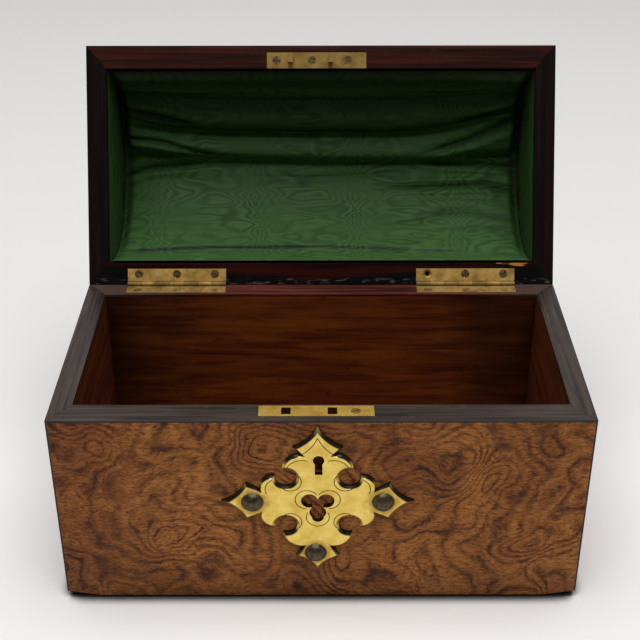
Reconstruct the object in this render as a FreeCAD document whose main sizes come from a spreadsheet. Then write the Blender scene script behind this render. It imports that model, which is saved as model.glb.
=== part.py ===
import FreeCAD, Part
import math
import os
import re

V = FreeCAD.Vector

# Driving sizes in millimetres and degrees. The box stands on z = 0 with its front facing -Y.
sizes = {
    # carcase
    "box_width": 240.0,
    "box_depth": 122.6,
    "rim_height": 102.0,
    "baize_thickness": 1.5,
    "baize_inset": 2.0,
    "baize_end_inset": 16.0,
    "veneer_thickness": 0.8,
    "front_wall": 12.4,
    "back_wall": 11.0,
    "end_wall": 10.0,
    "bottom_thickness": 7.0,
    "lap_depth": 5.0,
    "rim_strip": 1.2,
    "heel_length": 15.0,
    "heel_rise": 2.6,
    # lid
    "rim_gap": 0.8,
    "lid_open": 116.3,
    "bevel_margin": 0.1,
    "lid_wall": 11.5,
    "lid_spring": 7.0,
    "stave_count": 6,
    # lining
    "lining_clearance": 0.3,
    "lining_crown": 1.2,
    "lining_edge": 1.0,
    "lining_end": 0.9,
    "lining_puff": 1.5,
    # hinges
    "hinge_length": 50.8,
    "hinge_end": 20.0,
    "leaf_reach": 8.0,
    "knuckle_radius": 1.4,
    "knuckle_count": 7,
    "knuckle_gap": 0.15,
    "groove_clearance": 0.15,
    "leaf_clearance": 0.1,
    "pin_radius": 0.75,
    "pin_clearance": 0.05,
    "hinge_screw_pitch": 19.6,
    "hinge_screw_set": 5.2,
    # screws
    "screw_head": 2.15,
    "screw_sink": 1.0,
    "screw_shank": 1.1,
    "screw_length": 6.5,
    "screw_clearance": 0.05,
    "screw_slot": 0.5,
    # lock
    "lock_offset": -2.15,
    "lock_length": 50.8,
    "lock_width": 8.0,
    "lock_setback": 3.5,
    "slot_pitch": 20.4,
    "slot_shift": -3.15,
    "slot_length": 4.2,
    "slot_width": 5.2,
    "lock_screw_shift": 17.25,
    "case_shift": -4.6,
    "case_width": 37.5,
    "case_thickness": 7.2,
    "case_height": 27.3,
    "case_wall": 0.8,
    "mortise_clearance": 0.3,
    "bolt_travel": 4.2,
    "bolt_play": 0.3,
    "bolt_height": 5.5,
    "bolt_drop": 1.8,
    "ledge_length": 5.0,
    "ledge_height": 1.2,
    "upright_width": 2.4,
    "nose_thickness": 2.0,
    "nose_reach": 4.0,
    "nose_clearance": 0.45,
    "talon_width": 6.0,
    "talon_height": 2.0,
    "pillar_radius": 1.8,
    "pillar_set": 3.2,
    "cap_screw_radius": 0.8,
    "spring_thickness": 0.4,
    "spring_width": 2.4,
    "spring_length": 8.0,
    "spring_foot": 2.5,
    # hook plate
    "hook_width": 2.5,
    "hook_depth": 4.0,
    "hook_length": 9.0,
    "hook_web": 1.4,
    "eye_height": 3.0,
    "eye_width": 2.6,
    "hook_screw_pitch": 18.2,
    "hook_screw_shift": -2.3,
    # escutcheon
    "plate_offset": -1.6,
    "plate_drop": 43.0,
    "plate_thickness": 2.4,
    "plate_bevel": 1.1,
    "groove_width": 0.4,
    "groove_depth": 0.25,
    "line_shift": 2.8,
    "spear_shift": 5.5,
    "foil_shift": 1.4,
    "tip_top": 40.9,
    "tip_side": 43.5,
    "tip_bottom": 40.7,
    "ear_back": 11.2,
    "ear_back_bottom": 8.7,
    "ear_half": 10.0,
    "ear_half_top": 11.2,
    "ear_sag": 1.7,
    "notch_reach": 25.4,
    "notch_half": 5.8,
    "lobe_bulge_reach": 24.8,
    "lobe_bulge_half": 12.0,
    "lobe_tip_reach": 18.1,
    "lobe_tip_half": 15.75,
    "lobe_tip_reach_side": 19.3,
    "lobe_tip_half_side": 14.15,
    "hollow_across": 10.85,
    "hollow_along": 9.75,
    "trefoil_drop": 1.4,
    "trefoil_spread": 4.3,
    "trefoil_radius": 3.8,
    "foil_drop": 2.8,
    "foil_end_radius": 2.7,
    "key_rise": 23.2,
    "key_shift": 0.4,
    "key_radius": 2.55,
    "key_slot": 3.4,
    "key_length": 7.8,
    "key_pin_radius": 0.9,
    "stud_radius": 5.1,
    "stud_dome": 3.2,
    "stud_shank": 1.2,
    "stud_length": 9.0,
    "stud_side": 29.4,
    "stud_low": 29.4,
    "stud_stray": 1.0,
    "stud_clearance": 0.05,
}

doc = FreeCAD.newDocument("domed_box")
sheet = doc.addObject("Spreadsheet::Sheet", "Dims")
for row, (alias, value) in enumerate(sizes.items(), start=1):
    sheet.set(f"A{row}", alias)
    sheet.set(f"B{row}", str(value))
    sheet.setAlias(f"B{row}", alias)
doc.recompute()

# Places that several pieces share, as expressions of the driving sizes.
places = {
    "HALF_W": "(box_width / 2)",
    "HALF_D": "(box_depth / 2)",
    "STRIP_Z": "(rim_height - rim_strip)",
    "WALL_Z": "(baize_thickness + bottom_thickness)",
    "INSET": "((rim_strip - bevel_margin) / tan(lid_open / 2))",
    "LID_Z": "(rim_gap / 2)",
    "LOCK_Y": "(lock_setback + lock_width / 2 - box_depth / 2)",
    "SLOT_X": "(lock_offset + slot_shift)",
    "CASE_X": "(lock_offset + case_shift)",
    "KEY_X": "(plate_offset + key_shift)",
    "PLATE_Z": "(rim_height - plate_drop)",
    "EYE_Z": "(rim_height + rim_gap - hook_length + hook_web + eye_height / 2)",
    "BAR_Z": "(rim_height + rim_gap - hook_length - bolt_drop)",
}


def bound(text):
    text = str(text)
    for _ in range(2):
        text = re.sub(r"[A-Z][A-Z_]+", lambda m: places.get(m.group(0), m.group(0)), text)
    return re.sub(r"[a-z_]+", lambda m: "Dims." + m.group(0) if m.group(0) in sizes else m.group(0), text)


def value(text):
    # the number that an expression of the sheet's sizes gives
    return float(sheet.evalExpression(bound(text)))


def bind(obj, **props):
    for prop, text in props.items():
        obj.setExpression(prop, bound(text))
    return obj


def place(obj, x="0", y="0", z="0", turn=None):
    if turn is not None:
        obj.Placement = FreeCAD.Placement(V(0, 0, 0), turn)
    obj.setExpression("Placement.Base.x", bound(x))
    obj.setExpression("Placement.Base.y", bound(y))
    obj.setExpression("Placement.Base.z", bound(z))
    return obj


counts = {}


def add(kind, hint):
    counts[hint] = counts.get(hint, 0) + 1
    return doc.addObject(kind, f"{hint}_{counts[hint]}")


def box(x, y, z, length, width, height):
    obj = bind(add("Part::Box", "box"), Length=length, Width=width, Height=height)
    return place(obj, x, y, z)


def span(x, y, z):
    # a box between two limits on each axis
    ends = [(low, f"({high}) - ({low})") for low, high in (x, y, z)]
    return box(ends[0][0], ends[1][0], ends[2][0], ends[0][1], ends[1][1], ends[2][1])


along_x = FreeCAD.Rotation(V(0, 1, 0), 90)
along_y = FreeCAD.Rotation(V(1, 0, 0), -90)
upright = FreeCAD.Rotation()


def cylinder(x, y, z, radius, length, turn=upright):
    obj = bind(add("Part::Cylinder", "cylinder"), Radius=radius, Height=length)
    return place(obj, x, y, z, turn)


def wedge(turn, x, y, z, depth, outer, inner, outer_z, inner_z):
    # a four-sided block whose section runs from the outer face at 0 to the inner face at depth
    obj = add("Part::Wedge", "wedge")
    bind(obj, Ymin="0", Ymax=depth)
    bind(obj, Xmin=outer[0], Xmax=outer[1], X2min=inner[0], X2max=inner[1])
    bind(obj, Zmin=outer_z[0], Zmax=outer_z[1], Z2min=inner_z[0], Z2max=inner_z[1])
    return place(obj, x, y, z, turn)


def fuse(*solids):
    if len(solids) == 1:
        return solids[0]
    obj = add("Part::MultiFuse", "fuse")
    obj.Shapes = list(solids)
    return obj


def cut(base, *tools):
    obj = add("Part::Cut", "cut")
    obj.Base = base
    obj.Tool = fuse(*tools)
    return obj


def compound(solids):
    obj = add("Part::Compound", "set")
    obj.Links = list(solids)
    return obj


nodes = {}


def node(name, obj):
    # a piece that stays with the base
    obj.Label = name
    nodes[name] = obj
    return obj


def lid_node(name, obj):
    # a lid piece, drawn with the lid shut about the hinge line and then swung open
    if obj.TypeId in ("Part::Box", "Part::Wedge", "Part::Cylinder"):
        obj = compound([obj])
    obj.Placement = FreeCAD.Placement(V(0, 0, 0), FreeCAD.Rotation(V(1, 0, 0), -30))
    obj.setExpression("Placement.Rotation.Angle", bound("-lid_open"))
    obj.setExpression("Placement.Base.y", bound("HALF_D - INSET"))
    obj.setExpression("Placement.Base.z", bound("rim_height + LID_Z"))
    return node(name, obj)


quarter = [FreeCAD.Rotation(V(0, 0, 1), 90 * k) for k in range(4)]
sides = ("front", "right", "back", "left")


def rim_strip(side, centre_y, low, front, back):
    # one of four mitred strips, long edge outside
    near, far = {
        "front": ("end_wall", "end_wall"),
        "right": (front, back),
        "back": ("end_wall", "end_wall"),
        "left": (back, front),
    }[side]
    half = "HALF_W" if side in ("front", "back") else "HALF_D"
    depth = {"front": front, "right": "end_wall", "back": back, "left": "end_wall"}[side]
    x = {"front": "0", "right": "HALF_W", "back": "0", "left": "-HALF_W"}[side]
    step = {"front": " - HALF_D", "right": "", "back": " + HALF_D", "left": ""}[side]
    height = ("0", "rim_strip")
    outer = (f"-{half}", half)
    inner = (f"-{half} + {near}", f"{half} - {far}")
    turn = quarter[sides.index(side)]
    return wedge(turn, x, centre_y + step, low, depth, outer, inner, height, height)


def screw(x, y, z, down, head, slot_turn):
    # a countersunk wood screw with a slotted head, driven down or up
    cone = add("Part::Cone", "cone")
    step = "-screw_sink" if down else "0"
    bind(cone, Height="screw_sink")
    bind(cone, Radius1="screw_shank" if down else head, Radius2=head if down else "screw_shank")
    place(cone, x, y, f"{z} + ({step})")
    shank_z = f"{z} - screw_length" if down else f"{z} + screw_sink"
    shank = cylinder(x, y, shank_z, "screw_shank", "screw_length - screw_sink")
    slot = bind(add("Part::Box", "box"), Length=f"3 * {head}", Width="screw_slot", Height="screw_slot * 2")
    turn = FreeCAD.Rotation(V(0, 0, 1), slot_turn)
    offset = turn.multVec(V(1, 0, 0))
    place(
        slot,
        f"{x} - ({offset.x:.6f}) * 1.5 * {head} + ({offset.y:.6f}) * screw_slot / 2",
        f"{y} - ({offset.y:.6f}) * 1.5 * {head} - ({offset.x:.6f}) * screw_slot / 2",
        f"{z} - screw_slot",
        turn,
    )
    return cut(fuse(cone, shank), slot)


def screw_hole(x, y, z, down, head):
    # the countersunk hole that such a screw sits in
    cone = add("Part::Cone", "cone")
    step = "-screw_sink" if down else "0"
    wide = f"{head} + screw_clearance"
    narrow = "screw_shank + screw_clearance"
    bind(cone, Height="screw_sink", Radius1=narrow if down else wide, Radius2=wide if down else narrow)
    place(cone, x, y, f"{z} + ({step})")
    shank_z = f"{z} - screw_length - screw_clearance" if down else f"{z}"
    return fuse(cone, cylinder(x, y, shank_z, narrow, "screw_length + screw_clearance"))


# Worn heels under both ends of the carcase.
def heel(side):
    sign = "" if side == "right" else "-"
    wide = ("-HALF_D - 1", "HALF_D + 1")
    rise = ("-1", "heel_rise")
    turn = quarter[sides.index(side)]
    return wedge(turn, f"{sign}HALF_W", "0", "baize_thickness", "heel_length", wide, wide, rise, ("-1", "0"))


heels = fuse(heel("left"), heel("right"))

# Keyhole and stud holes pass through the escutcheon, the veneer and the front board.
key_z = "(PLATE_Z + key_rise)"


def keyhole(start_y, length):
    bore = cylinder("KEY_X", start_y, key_z, "key_radius", length, along_y)
    slot = box("KEY_X - key_slot / 2", start_y, f"{key_z} - key_length", "key_slot", length, "key_length")
    return fuse(bore, slot)


stud_places = [
    ("plate_offset - stud_side", "PLATE_Z"),
    ("plate_offset + stud_side", "PLATE_Z"),
    ("plate_offset - stud_stray", "PLATE_Z - stud_low"),
]
stud_face = "-HALF_D - plate_thickness"
stud_holes = [
    cylinder(x, stud_face, z, "stud_shank + stud_clearance", "stud_length + stud_clearance", along_y)
    for x, z in stud_places
]
front_keyhole = keyhole("-HALF_D - plate_thickness - 1", "front_wall + plate_thickness")

# Lock mortise and the hole of the lock plate's screw.
mortise = span(
    ("CASE_X - case_width / 2 - mortise_clearance", "CASE_X + case_width / 2 + mortise_clearance"),
    ("LOCK_Y - case_thickness / 2 - mortise_clearance", "LOCK_Y + case_thickness / 2 + mortise_clearance"),
    ("STRIP_Z - case_height - mortise_clearance", "rim_height"),
)
lock_screw_at = ("lock_offset + lock_screw_shift", "LOCK_Y", "rim_height", True, "screw_head")
lock_screw_hole = screw_hole(*lock_screw_at)

# Hinge screws: six in the base, five in the lid, where one hole stands empty.
hinge_middle = "(HALF_W - hinge_end - hinge_length / 2)"
hinge_x = {"left": f"-{hinge_middle}", "right": hinge_middle}
base_axis_y = "(HALF_D - INSET)"
base_screws_at = []
lid_screws_at = []
for side in ("left", "right"):
    for step in (-1, 0, 1):
        at_x = f"{hinge_x[side]} + ({step}) * hinge_screw_pitch"
        base_screws_at.append((at_x, f"{base_axis_y} - hinge_screw_set", "rim_height", True, "screw_head"))
        lid_screws_at.append((at_x, "-hinge_screw_set", "LID_Z", False, "screw_head"))
empty_hole = 3
base_hinge_holes = [screw_hole(*at) for at in base_screws_at]
lid_hinge_holes = [screw_hole(*at) for at in lid_screws_at]

# Grooves that the hinge knuckles turn in, and the beds that the leaves are let into.
groove_radius = "knuckle_radius + groove_clearance"


def grooves(axis_y, axis_z):
    return [
        cylinder(
            f"{hinge_x[side]} - hinge_length / 2 - leaf_clearance",
            axis_y,
            axis_z,
            groove_radius,
            "hinge_length + 2 * leaf_clearance",
            along_x,
        )
        for side in hinge_x
    ]


def beds(axis_y, low, high):
    return [
        span(
            (
                f"{hinge_x[side]} - hinge_length / 2 - leaf_clearance",
                f"{hinge_x[side]} + hinge_length / 2 + leaf_clearance",
            ),
            (f"{axis_y} - leaf_reach - leaf_clearance", f"{axis_y} + INSET + 1"),
            (low, high),
        )
        for side in hinge_x
    ]


base_grooves = grooves(base_axis_y, "rim_height + LID_Z")
lid_grooves = grooves("0", "0")

# Base boards: front and back run the full width, the ends are lapped into them, all on the bottom board.
skin_x = "(HALF_W - veneer_thickness)"
skin_y = "(HALF_D - veneer_thickness)"
wall = ("WALL_Z", "STRIP_Z")
end_x = "(HALF_W - end_wall)"
front_in = "(front_wall - HALF_D)"
back_in = "(HALF_D - back_wall)"


def laps(low, high):
    return [
        span((f"-{skin_x} - 1", f"-{end_x}"), (low, high), ("WALL_Z - 1", "STRIP_Z + 1")),
        span((end_x, f"{skin_x} + 1"), (low, high), ("WALL_Z - 1", "STRIP_Z + 1")),
    ]


front_board = span((f"-{skin_x}", skin_x), (f"-{skin_y}", front_in), wall)
front_cuts = laps(f"{front_in} - lap_depth", f"{front_in} + 1")
node("base_front_board", cut(front_board, mortise, front_keyhole, lock_screw_hole, *front_cuts, *stud_holes))
back_board = span((f"-{skin_x}", skin_x), (back_in, skin_y), wall)
back_cuts = laps(f"{back_in} - 1", f"{back_in} + lap_depth")
node("base_back_board", cut(back_board, *back_cuts, *base_hinge_holes, *base_grooves))
end_y = (f"{front_in} - lap_depth", f"{back_in} + lap_depth")
node("base_left_board", span((f"-{skin_x}", f"-{end_x}"), end_y, wall))
node("base_right_board", span((end_x, skin_x), end_y, wall))
bottom = span((f"-{skin_x}", skin_x), (f"-{skin_y}", skin_y), ("baize_thickness", "WALL_Z"))
node("base_bottom_board", cut(bottom, heels))
node(
    "base_baize",
    span(
        ("baize_end_inset - HALF_W", "HALF_W - baize_end_inset"),
        ("baize_inset - HALF_D", "HALF_D - baize_inset"),
        ("0", "baize_thickness"),
    ),
)

# Veneers on the four sides, and dark strings down the four corners.
face = ("baize_thickness", "STRIP_Z")
front_veneer = span((f"-{skin_x}", skin_x), ("-HALF_D", f"-{skin_y}"), face)
node("base_front_veneer", cut(front_veneer, heels, front_keyhole, *stud_holes))
back_veneer = span((f"-{skin_x}", skin_x), (skin_y, "HALF_D"), face)
node("base_back_veneer", cut(back_veneer, heels, *base_grooves))
node("base_left_veneer", cut(span(("-HALF_W", f"-{skin_x}"), (f"-{skin_y}", skin_y), face), heels))
node("base_right_veneer", cut(span((skin_x, "HALF_W"), (f"-{skin_y}", skin_y), face), heels))
corner_x = (("-HALF_W", f"-{skin_x}"), (skin_x, "HALF_W"))
corner_y = (("-HALF_D", f"-{skin_y}"), (skin_y, "HALF_D"))
node("base_corner_strings", compound([cut(span(x, y, face), heels) for x in corner_x for y in corner_y]))

# Rim strips of the base. The back edge is bevelled, and the lid's bevel rests on it when open.
full_x = ("-HALF_W - 1", "HALF_W + 1")
bevel_outer = ("bevel_margin - rim_strip", "1")
base_bevel = wedge(quarter[2], "0", "HALF_D", "rim_height", "INSET", full_x, full_x, bevel_outer, ("0", "1"))
plate_bed = span(
    (
        "lock_offset - lock_length / 2 - leaf_clearance",
        "lock_offset + lock_length / 2 + leaf_clearance",
    ),
    ("LOCK_Y - lock_width / 2 - leaf_clearance", "LOCK_Y + lock_width / 2 + leaf_clearance"),
    ("STRIP_Z - 1", "rim_height + 1"),
)
base_strips = {side: rim_strip(side, "0", "STRIP_Z", "front_wall", "back_wall") for side in sides}
node("base_rim_front", cut(base_strips["front"], plate_bed))
base_beds = beds(base_axis_y, "STRIP_Z - 1", "rim_height + 1")
node("base_rim_back", cut(base_strips["back"], base_bevel, *base_beds, *base_grooves))
node("base_rim_left", cut(base_strips["left"], base_bevel))
node("base_rim_right", cut(base_strips["right"], base_bevel))


# Gothic escutcheon: four arms with spear tips, ears and lobes, round hollows between the arms.
def turned(angle, along, across):
    c, s = round(math.cos(math.radians(angle))), round(math.sin(math.radians(angle)))
    return V(along * c + across * s, 0, along * s - across * c)


def arm(angle, tip, ear_back, ear_half, lobe_reach, lobe_half):
    ear = (tip - ear_back, ear_half)
    notch = (value("notch_reach"), value("notch_half"))
    bulge = (value("lobe_bulge_reach"), value("lobe_bulge_half"))
    lobe = (lobe_reach, lobe_half)
    lean = math.hypot(tip - ear[0], ear[1])
    sag = value("ear_sag")
    middle = (
        (tip + ear[0]) / 2 - sag * ear[1] / lean,
        ear[1] / 2 - sag * (tip - ear[0]) / lean,
    )
    near = [turned(angle, *p) for p in (lobe, bulge, notch, ear, middle)]
    far = [turned(angle, p[0], -p[1]) for p in (middle, ear, notch, bulge, lobe)]
    point = turned(angle, tip, 0)
    path = [
        (near[0], near[1], near[2]),
        (near[2], None, near[3]),
        (near[3], near[4], point),
        (point, far[0], far[1]),
        (far[1], None, far[2]),
        (far[2], far[3], far[4]),
    ]
    return path, near[0], far[4]


def plate_path():
    # the outline as lines and three-point arcs, anticlockwise from the front
    lobe, side_lobe = ("lobe_tip_reach", "lobe_tip_half"), ("lobe_tip_reach_side", "lobe_tip_half_side")
    top = ("tip_top", "ear_back", "ear_half_top", *lobe)
    side = ("tip_side", "ear_back", "ear_half", *side_lobe)
    bottom = ("tip_bottom", "ear_back_bottom", "ear_half", *lobe)
    turns = [(90, top), (180, side), (270, bottom), (0, side)]
    arms = [arm(turn, *(value(cell) for cell in cells)) for turn, cells in turns]
    across, along = value("hollow_across"), value("hollow_along")
    hollows = [V(-across, 0, along), V(-across, 0, -along), V(across, 0, -along), V(across, 0, along)]
    path = []
    for k, (outline, _, end) in enumerate(arms):
        path += outline
        path.append((end, hollows[k], arms[(k + 1) % 4][1]))
    return path


def path_edges(path, depth):
    shift = V(0, -depth, 0)
    edges = []
    for start, middle, end in path:
        if middle is None:
            edges.append(Part.LineSegment(start + shift, end + shift).toShape())
        else:
            edges.append(Part.Arc(start + shift, middle + shift, end + shift).toShape())
    return edges


def inset_path(path, amount):
    # the same outline drawn inwards by an even amount, its outside corners mitred
    def inward(edge, at):
        tangent = edge.tangentAt(at)
        return V(-tangent.z, 0, tangent.x).normalize()

    def corner(before, after):
        # an inside corner is cut short, so that a narrow notch keeps its place
        inside = before.x * after.z - before.z * after.x < 0
        spread = 1 + before.dot(after)
        return (before + after) * (amount / (max(spread, 1.0) if inside else spread))

    edges = path_edges(path, 0)
    starts = [inward(edge, edge.FirstParameter) for edge in edges]
    ends = [inward(edge, edge.LastParameter) for edge in edges]
    moved = []
    for k, (start, middle, end) in enumerate(path):
        before, after = ends[k - 1], starts[(k + 1) % len(path)]
        first = corner(before, starts[k])
        last = corner(ends[k], after)
        if middle is not None:
            middle = middle + inward(edges[k], edges[k].Curve.parameter(middle)) * amount
        moved.append((start + first, middle, end + last))
    return moved


outline = plate_path()
field = inset_path(outline, value("plate_bevel"))
edge_depth = value("plate_thickness - plate_bevel")
plate_wires = [
    Part.Wire(path_edges(outline, 0)),
    Part.Wire(path_edges(outline, edge_depth)),
    Part.Wire(path_edges(field, value("plate_thickness"))),
]
plate_blank = doc.addObject("Part::Feature", "plate_blank")
plate_blank.Shape = Part.makeLoft(plate_wires, True, True)
place(plate_blank, "plate_offset", "-HALF_D", "PLATE_Z")
trefoil = [
    cylinder(
        f"plate_offset + ({math.cos(math.radians(turn)):.6f}) * trefoil_spread",
        "-HALF_D - plate_thickness - 1",
        f"PLATE_Z - trefoil_drop + ({math.sin(math.radians(turn)):.6f}) * trefoil_spread",
        "trefoil_radius",
        "plate_thickness + 2",
        along_y,
    )
    for turn in (30, 150, 270)
]
foil_end = cylinder(
    "plate_offset",
    "-HALF_D - plate_thickness - 1",
    "PLATE_Z - trefoil_drop - trefoil_spread - foil_drop",
    "foil_end_radius",
    "plate_thickness + 2",
    along_y,
)
trefoil_heart = cylinder(
    "plate_offset",
    "-HALF_D - plate_thickness - 1",
    "PLATE_Z - trefoil_drop",
    "trefoil_spread / 2",
    "plate_thickness + 2",
    along_y,
)


# Engraved lines repeat the hollows, the top spear, the upper lobes and the trefoil further in.
def groove(arc, shift):
    # a shallow groove of even width along a moved arc
    points = [point + shift for point in arc]
    circle = Part.Arc(*points).toShape().Curve
    half = value("groove_width") / 2 / circle.Radius
    lift = V(0, -value("plate_thickness") - 1, 0)
    inner, outer = (
        [circle.Center + (point - circle.Center) * scale + lift for point in points]
        for scale in (1 - half, 1 + half)
    )
    edges = [
        Part.Arc(*inner).toShape(),
        Part.LineSegment(inner[2], outer[2]).toShape(),
        Part.Arc(*reversed(outer)).toShape(),
        Part.LineSegment(outer[0], inner[0]).toShape(),
    ]
    return Part.Face(Part.Wire(edges)).extrude(V(0, 1 + value("groove_depth"), 0))


def spoke(turn, reach):
    return V(reach * math.cos(math.radians(turn)), 0, reach * math.sin(math.radians(turn)))


def foil_arc(turn):
    middle = spoke(turn, value("trefoil_spread + foil_shift")) - V(0, 0, value("trefoil_drop"))
    return [middle + spoke(turn + step, value("trefoil_radius + foil_shift")) for step in (-120, 0, 120)]


per_arm = len(outline) // 4
lines = [(outline[per_arm * k + 6], outline[per_arm * k + 6][1] * -1) for k in range(4)]
lines += [(outline[k], outline[k][1] * -1) for k in (0, 5, per_arm, 3 * per_arm + 5)]
cuts = [groove(arc, way.normalize() * value("line_shift")) for arc, way in lines]
cuts += [groove(outline[k], V(0, 0, -value("spear_shift"))) for k in (2, 3)]
foil_moves = [(30, 0), (150, 0), (270, value("foil_drop") / 2)]
cuts += [groove(foil_arc(turn), V(0, 0, -drop)) for turn, drop in foil_moves]
engraving = doc.addObject("Part::Feature", "engraving")
engraving.Shape = cuts[0].multiFuse(cuts[1:])
place(engraving, "plate_offset", "-HALF_D", "PLATE_Z")
openings = [front_keyhole, trefoil_heart, foil_end, *trefoil, *stud_holes]
node("escutcheon_plate", cut(plate_blank, *openings, engraving))


def stud(x, z):
    # a domed head on a plain shank
    ball = add("Part::Sphere", "ball")
    radius = "((stud_radius ^ 2 + stud_dome ^ 2) / (2 * stud_dome))"
    bind(ball, Radius=radius, Angle1=f"asin(({radius} - stud_dome) / {radius})", Angle2="90")
    place(ball, x, f"{stud_face} + {radius} - stud_dome", z, FreeCAD.Rotation(V(1, 0, 0), 90))
    return fuse(ball, cylinder(x, stud_face, z, "stud_shank", "stud_length", along_y))


node("escutcheon_studs", compound([stud(x, z) for x, z in stud_places]))

# Lock: a slotted plate with a shallow case below it, closed behind by a cap.
case_x = ("CASE_X - case_width / 2", "CASE_X + case_width / 2")
case_y = ("LOCK_Y - case_thickness / 2", "LOCK_Y + case_thickness / 2")
case_z = ("STRIP_Z - case_height", "STRIP_Z")
inner_x = (f"{case_x[0]} + case_wall", f"{case_x[1]} - case_wall")
inner_y = (f"{case_y[0]} + case_wall", f"{case_y[1]} - case_wall")
slot_x = ("(SLOT_X - slot_pitch / 2)", "(SLOT_X + slot_pitch / 2)")
plate_x = ("lock_offset - lock_length / 2", "lock_offset + lock_length / 2")
lock_plate = span(plate_x, ("LOCK_Y - lock_width / 2", "LOCK_Y + lock_width / 2"), ("STRIP_Z", "rim_height"))
shell = span(case_x, (case_y[0], inner_y[1]), case_z)
hollow = span(inner_x, (inner_y[0], f"{inner_y[1]} + 1"), (f"{case_z[0]} + case_wall", "STRIP_Z"))
bar_low = "(BAR_Z - bolt_height)"
ledge_z = (f"{bar_low} - bolt_play - ledge_height", f"{bar_low} - bolt_play")
ledges = [
    span((inner_x[0], f"{inner_x[0]} + ledge_length"), inner_y, ledge_z),
    span((f"{inner_x[1]} - ledge_length", inner_x[1]), inner_y, ledge_z),
]
pillar_at = [
    (f"{inner_x[0]} + pillar_set", f"{case_z[0]} + case_wall + pillar_set"),
    (f"{inner_x[1]} - pillar_set", f"{case_z[0]} + case_wall + pillar_set"),
]
bay = f"({inner_y[1]} - ({inner_y[0]}))"
pillars = [cylinder(x, inner_y[0], z, "pillar_radius", bay, along_y) for x, z in pillar_at]
cap_hole = "cap_screw_radius + screw_clearance"
pillar_holes = [
    cylinder(x, f"{inner_y[0]} + case_wall", z, cap_hole, "case_thickness", along_y) for x, z in pillar_at
]
slots = [
    span(
        (f"{x} - slot_length / 2", f"{x} + slot_length / 2"),
        ("LOCK_Y - slot_width / 2", "LOCK_Y + slot_width / 2"),
        ("STRIP_Z - 1", "rim_height + 1"),
    )
    for x in slot_x
]
case = fuse(cut(shell, hollow, keyhole(f"{case_y[0]} - 1", "case_wall + 2")), *ledges, *pillars)
node("lock_body", cut(fuse(lock_plate, case), lock_screw_hole, *slots, *pillar_holes))
pin_hole = cylinder("KEY_X", f"{inner_y[1]} - 1", key_z, "key_pin_radius", "case_wall + 2", along_y)
cap = span(case_x, (inner_y[1], case_y[1]), case_z)
node("lock_cap", cut(cap, pin_hole, *pillar_holes))
node("lock_key_pin", cylinder("KEY_X", inner_y[0], key_z, "key_pin_radius", f"{bay} + case_wall", along_y))
cap_screws = [
    cylinder(x, f"{inner_y[0]} + 2 * case_wall", z, "cap_screw_radius", f"{bay} - case_wall", along_y)
    for x, z in pillar_at
]
node("lock_cap_screws", compound(cap_screws))
node("lock_plate_screw", screw(*lock_screw_at, 20))

# Bolt: a bar with two noses that slide through the eyes of the lid's hooks.
bar_x = (f"{inner_x[0]} + bolt_play", f"{inner_x[1]} - bolt_play - bolt_travel")
bar_y = (f"{inner_y[0]} + bolt_play", f"{inner_y[1]} - bolt_play")
bar = span(bar_x, bar_y, (bar_low, "BAR_Z"))
talon = span(
    ("KEY_X - talon_width / 2 - bolt_travel / 2", "KEY_X + talon_width / 2 - bolt_travel / 2"),
    (f"{bar_y[0]} - 1", f"{bar_y[1]} + 1"),
    (f"{bar_low} - 1", f"{bar_low} + talon_height"),
)
nose_y = ("LOCK_Y - nose_thickness / 2", "LOCK_Y + nose_thickness / 2")
nose_z = ("EYE_Z - eye_height / 2 + nose_clearance", "EYE_Z + eye_height / 2 - nose_clearance")
bolt_limbs = []
for x in slot_x:
    nose_end = f"({x} - hook_width / 2 - nose_clearance)"
    root = f"({nose_end} - nose_reach)"
    bolt_limbs.append(span((root, nose_end), nose_y, nose_z))
    bolt_limbs.append(span((f"{root} - upright_width", root), nose_y, ("BAR_Z", nose_z[1])))
node("lock_bolt", fuse(cut(bar, talon), *bolt_limbs))


# Spring: a bent strip fixed under the lock plate that presses on the bolt.
def spring_shape():
    thick, foot, length = value("spring_thickness"), value("spring_foot"), value("spring_length")
    drop = value("STRIP_Z - BAR_Z") - 2 * thick
    upper = [(0, 0), (foot, 0), (length, -drop), (length + 2 * thick, -drop)]
    lower = [(x - (thick if 0 < k else 0), z - thick) for k, (x, z) in enumerate(upper)]
    outline = [V(x, 0, z) for x, z in upper + lower[::-1]]
    return Part.Face(Part.makePolygon(outline + outline[:1])).extrude(V(0, value("spring_width"), 0))


spring = doc.addObject("Part::Feature", "spring")
spring.Shape = spring_shape()
place(spring, f"{slot_x[0]} + slot_length / 2 + bolt_play", "LOCK_Y - spring_width / 2", "STRIP_Z")
node("lock_spring", spring)


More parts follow.
